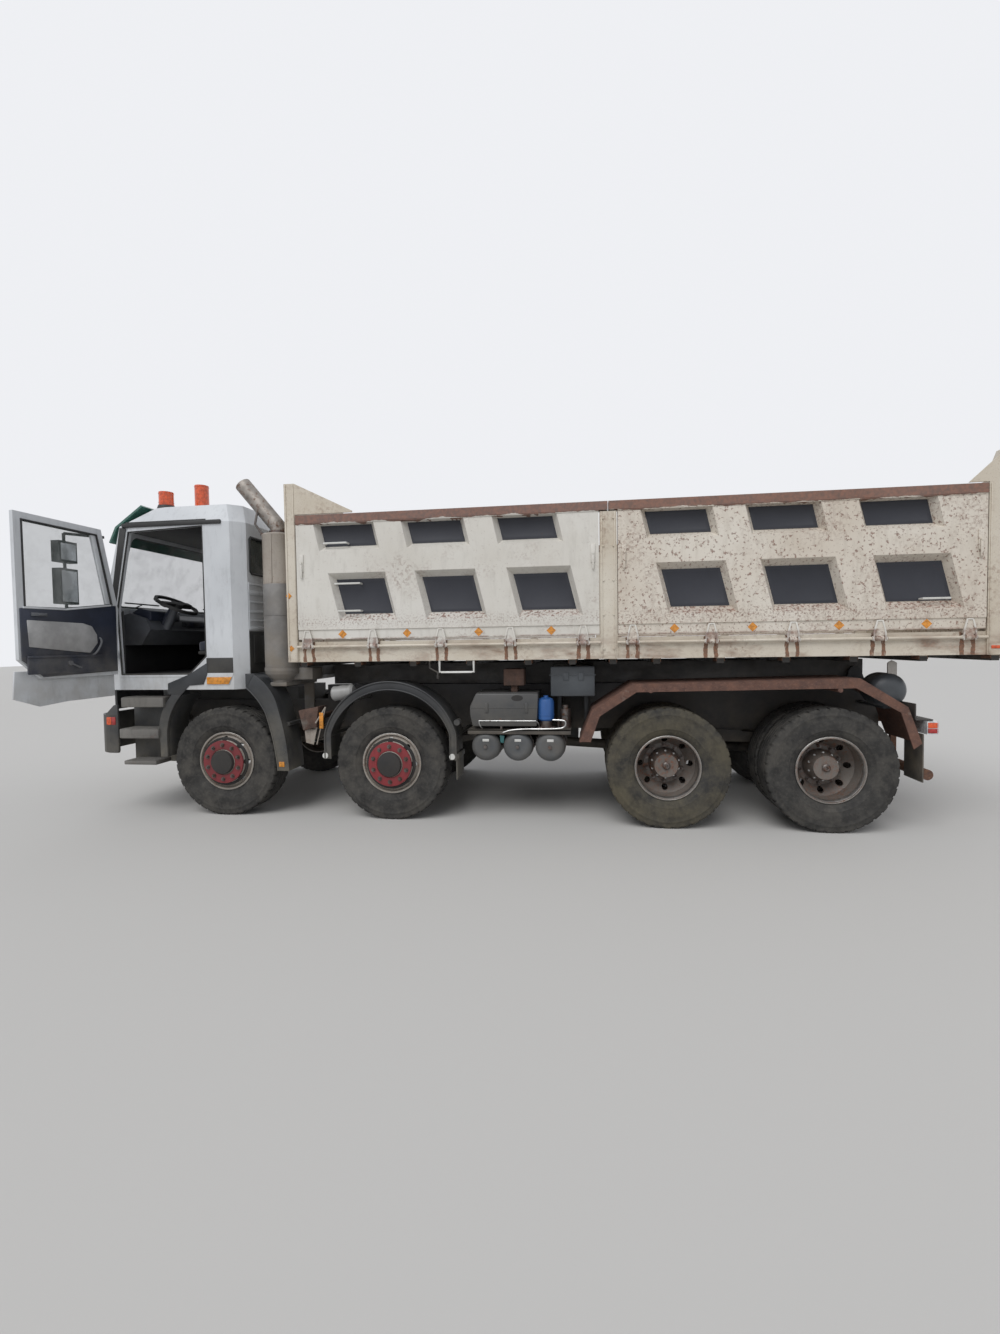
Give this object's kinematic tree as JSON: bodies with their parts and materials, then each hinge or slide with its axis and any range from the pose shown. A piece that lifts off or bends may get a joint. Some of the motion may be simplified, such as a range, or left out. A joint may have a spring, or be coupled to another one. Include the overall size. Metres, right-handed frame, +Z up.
{
  "type": "four-axle tipper lorry",
  "caption": "Cab-over tipper lorry with a drop-side dump bed on a telescopic hoist, tilting cab, hinged doors and gates, steered front axles and twin rear wheels.",
  "frame": {"origin": "on the ground, under the first axle, on the centre plane of the chassis", "axes": "+X forward, +Y to the driver's left, +Z up"},
  "size_m": [8.415, 3.7183, 3.3698],
  "materials": {
    "cab_paint": "gloss",
    "bed_paint": "worn",
    "rusty_steel": "rough",
    "frame_black": "matte",
    "engine_iron": "rough",
    "dark_plastic": "matte",
    "tyre_rubber": "matte",
    "rim_steel": "worn",
    "hoist_chrome": "polished",
    "hoist_paint": "worn",
    "tank_grey": "worn",
    "lamp_orange": "gloss",
    "visor_green": "gloss",
    "clear_glass": "gloss",
    "seat_cloth": "woven",
    "stack_steel": "worn"
  },
  "bodies": {
    "chassis": {"chassis_frame": "frame_black", "engine_block": "engine_iron", "front_axles": "frame_black", "rear_axles": "frame_black", "front_bumper": "dark_plastic", "cab_steps": "dark_plastic", "mudguards": "dark_plastic", "rear_mudguards": "rusty_steel", "side_boxes": "tank_grey", "air_tanks": "tank_grey", "fuel_tank": "tank_grey", "exhaust_stack": "stack_steel", "rear_bar": "rusty_steel", "lamps": "lamp_orange"},
    "cab": {"cab_shell": "cab_paint", "cab_glass": "clear_glass", "cab_front_panel": "dark_plastic", "sun_visor": "visor_green", "beacons": "lamp_orange", "mirrors": "dark_plastic", "seats": "seat_cloth", "dashboard": "dark_plastic"},
    "steering_wheel": {"steering_wheel": "dark_plastic"},
    "door_left": {"door_left": "cab_paint", "door_glass_left": "clear_glass"},
    "door_right": {"door_right": "cab_paint", "door_glass_right": "clear_glass"},
    "bed": {"bed_body": "bed_paint"},
    "tailgate": {"tailgate": "bed_paint"},
    "hoist_barrel": {"hoist_barrel": "hoist_paint"},
    "knuckle_1_left": {"knuckle_1_left": "frame_black"},
    "wheel_1_left": {"tyre_1_left": "tyre_rubber", "rim_1_left": "rim_steel"},
    "knuckle_1_right": {"knuckle_1_right": "frame_black"},
    "wheel_1_right": {"tyre_1_right": "tyre_rubber", "rim_1_right": "rim_steel"},
    "knuckle_2_left": {"knuckle_2_left": "frame_black"},
    "wheel_2_left": {"tyre_2_left": "tyre_rubber", "rim_2_left": "rim_steel"},
    "knuckle_2_right": {"knuckle_2_right": "frame_black"},
    "wheel_2_right": {"tyre_2_right": "tyre_rubber", "rim_2_right": "rim_steel"},
    "wheels_3_left": {"tyres_3_left": "tyre_rubber", "rims_3_left": "rim_steel"},
    "wheels_3_right": {"tyres_3_right": "tyre_rubber", "rims_3_right": "rim_steel"},
    "wheels_4_left": {"tyres_4_left": "tyre_rubber", "rims_4_left": "rim_steel"},
    "wheels_4_right": {"tyres_4_right": "tyre_rubber", "rims_4_right": "rim_steel"},
    "gate_front_left": {"gate_front_left": "bed_paint"},
    "gate_front_right": {"gate_front_right": "bed_paint"},
    "gate_rear_left": {"gate_rear_left": "bed_paint"},
    "gate_rear_right": {"gate_rear_right": "bed_paint"},
    "hoist_stage_1": {"hoist_stage_1": "hoist_chrome"},
    "hoist_stage_2": {"hoist_stage_2": "hoist_chrome"},
    "hoist_stage_3": {"hoist_stage_3": "hoist_chrome"},
    "hoist_stage_4": {"hoist_stage_4": "hoist_chrome"}
  },
  "joints": [
    {"name": "cab_tilt", "type": "hinge", "parent": "chassis", "child": "cab", "pos_m": [1.24, 0, 1.08], "axis": [0, 1, 0], "range_deg": [0, 60]},
    {"name": "steering_turn", "type": "hinge", "parent": "cab", "child": "steering_wheel", "pos_m": [0.885, 0.6, 2.13], "axis": [-0.45, 0, 0.893], "range_deg": [-560, 560]},
    {"name": "door_left_swing", "type": "hinge", "parent": "cab", "child": "door_left", "pos_m": [1.1, 1.222, 1.78], "axis": [0, 0, 1], "range_deg": [0, 100]},
    {"name": "door_right_swing", "type": "hinge", "parent": "cab", "child": "door_right", "pos_m": [1.1, -1.222, 1.78], "axis": [0, 0, 1], "range_deg": [0, 80]},
    {"name": "steer_1_left", "type": "hinge", "parent": "chassis", "child": "knuckle_1_left", "pos_m": [0, 0.93, 0.5275], "axis": [0, 0, 1], "range_deg": [-35, 35]},
    {"name": "roll_1_left", "type": "hinge", "parent": "knuckle_1_left", "child": "wheel_1_left", "pos_m": [0, 1.02, 0.535], "axis": [0, 1, 0], "continuous": true},
    {"name": "steer_1_right", "type": "hinge", "parent": "chassis", "child": "knuckle_1_right", "pos_m": [0, -0.93, 0.5275], "axis": [0, 0, 1], "range_deg": [-35, 35]},
    {"name": "roll_1_right", "type": "hinge", "parent": "knuckle_1_right", "child": "wheel_1_right", "pos_m": [0, -1.02, 0.535], "axis": [0, 1, 0], "continuous": true},
    {"name": "steer_2_left", "type": "hinge", "parent": "chassis", "child": "knuckle_2_left", "pos_m": [-1.7, 0.93, 0.5275], "axis": [0, 0, 1], "range_deg": [-22, 22]},
    {"name": "roll_2_left", "type": "hinge", "parent": "knuckle_2_left", "child": "wheel_2_left", "pos_m": [-1.7, 1.02, 0.535], "axis": [0, 1, 0], "continuous": true},
    {"name": "steer_2_right", "type": "hinge", "parent": "chassis", "child": "knuckle_2_right", "pos_m": [-1.7, -0.93, 0.5275], "axis": [0, 0, 1], "range_deg": [-22, 22]},
    {"name": "roll_2_right", "type": "hinge", "parent": "knuckle_2_right", "child": "wheel_2_right", "pos_m": [-1.7, -1.02, 0.535], "axis": [0, 1, 0], "continuous": true},
    {"name": "roll_3_left", "type": "hinge", "parent": "chassis", "child": "wheels_3_left", "pos_m": [-4.25, 0.905, 0.535], "axis": [0, 1, 0], "continuous": true},
    {"name": "roll_3_right", "type": "hinge", "parent": "chassis", "child": "wheels_3_right", "pos_m": [-4.25, -0.905, 0.535], "axis": [0, 1, 0], "continuous": true},
    {"name": "roll_4_left", "type": "hinge", "parent": "chassis", "child": "wheels_4_left", "pos_m": [-5.6, 0.905, 0.535], "axis": [0, 1, 0], "continuous": true},
    {"name": "roll_4_right", "type": "hinge", "parent": "chassis", "child": "wheels_4_right", "pos_m": [-5.6, -0.905, 0.535], "axis": [0, 1, 0], "continuous": true},
    {"name": "bed_tip", "type": "hinge", "parent": "chassis", "child": "bed", "pos_m": [-6.1, 0, 1.33], "axis": [0, -1, 0], "range_deg": [0, 45]},
    {"name": "gate_front_left_drop", "type": "hinge", "parent": "bed", "child": "gate_front_left", "pos_m": [-2.255, 1.258, 1.654], "axis": [-1, 0, 0], "range_deg": [0, 170]},
    {"name": "gate_front_right_drop", "type": "hinge", "parent": "bed", "child": "gate_front_right", "pos_m": [-2.255, -1.258, 1.654], "axis": [1, 0, 0], "range_deg": [0, 170]},
    {"name": "gate_rear_left_drop", "type": "hinge", "parent": "bed", "child": "gate_rear_left", "pos_m": [-5.2845, 1.258, 1.654], "axis": [-1, 0, 0], "range_deg": [0, 170]},
    {"name": "gate_rear_right_drop", "type": "hinge", "parent": "bed", "child": "gate_rear_right", "pos_m": [-5.2845, -1.258, 1.654], "axis": [1, 0, 0], "range_deg": [0, 170]},
    {"name": "tailgate_swing", "type": "hinge", "parent": "bed", "child": "tailgate", "pos_m": [-6.908, 0, 3.095], "axis": [0, 1, 0], "range_deg": [0, 75]},
    {"name": "hoist_tilt", "type": "hinge", "parent": "chassis", "child": "hoist_barrel", "pos_m": [-3.6, 0, 1], "axis": [0, -1, 0], "range_deg": [0, 20.1]},
    {"name": "hoist_slide_1", "type": "slide", "parent": "hoist_barrel", "child": "hoist_stage_1", "axis": [0, 0, 1], "range_m": [0, 0.473]},
    {"name": "hoist_slide_2", "type": "slide", "parent": "hoist_stage_1", "child": "hoist_stage_2", "axis": [0, 0, 1], "range_m": [0, 0.473]},
    {"name": "hoist_slide_3", "type": "slide", "parent": "hoist_stage_2", "child": "hoist_stage_3", "axis": [0, 0, 1], "range_m": [0, 0.473]},
    {"name": "hoist_slide_4", "type": "slide", "parent": "hoist_stage_3", "child": "hoist_stage_4", "axis": [0, 0, 1], "range_m": [0, 0.473]}
  ],
  "couplings": [
    {"joint": "steer_1_right", "follows": "steer_1_left", "ratio": 1},
    {"joint": "steer_2_left", "follows": "steer_1_left", "ratio": 0.62},
    {"joint": "steer_2_right", "follows": "steer_1_left", "ratio": 0.62},
    {"joint": "steering_turn", "follows": "steer_1_left", "ratio": 16},
    {"joint": "hoist_tilt", "follows": "bed_tip", "ratio": 0.4444},
    {"joint": "hoist_slide_1", "follows": "bed_tip", "m_per_rad": 0.6},
    {"joint": "hoist_slide_2", "follows": "bed_tip", "m_per_rad": 0.6},
    {"joint": "hoist_slide_3", "follows": "bed_tip", "m_per_rad": 0.6},
    {"joint": "hoist_slide_4", "follows": "bed_tip", "m_per_rad": 0.6}
  ]
}
